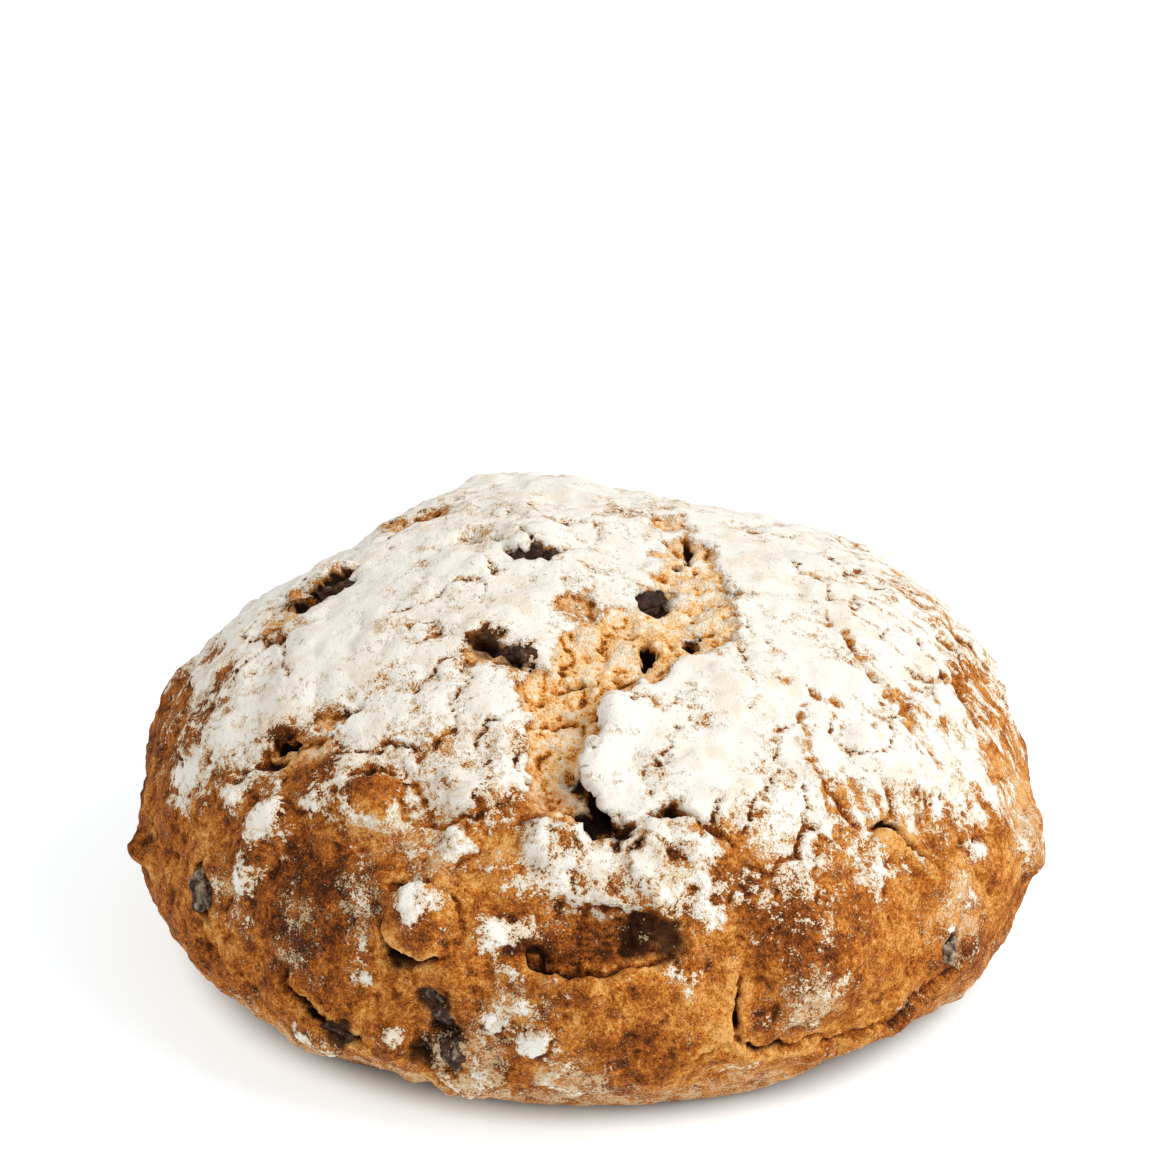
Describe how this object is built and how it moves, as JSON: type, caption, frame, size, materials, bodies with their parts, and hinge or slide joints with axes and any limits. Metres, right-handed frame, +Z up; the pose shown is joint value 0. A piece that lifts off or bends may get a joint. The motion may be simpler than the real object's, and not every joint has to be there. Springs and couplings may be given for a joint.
{
  "type": "fruit loaf",
  "caption": "Round free-standing fruit loaf with a flat sole, a torn, flour-dusted dome and dried fruit breaking through the crust.",
  "frame": {"origin": "middle of the flat sole the loaf rests on, below the middle of its box", "axes": "+Z up from the sole to the crown, +X to the right across the loaf's widest measure, -Y towards the front, where the main tear runs down"},
  "size_m": [0.2, 0.19, 0.092],
  "materials": {
    "crust": "matte",
    "raisins": "satin"
  },
  "bodies": {
    "root": {"loaf": "crust"}
  },
  "joints": []
}
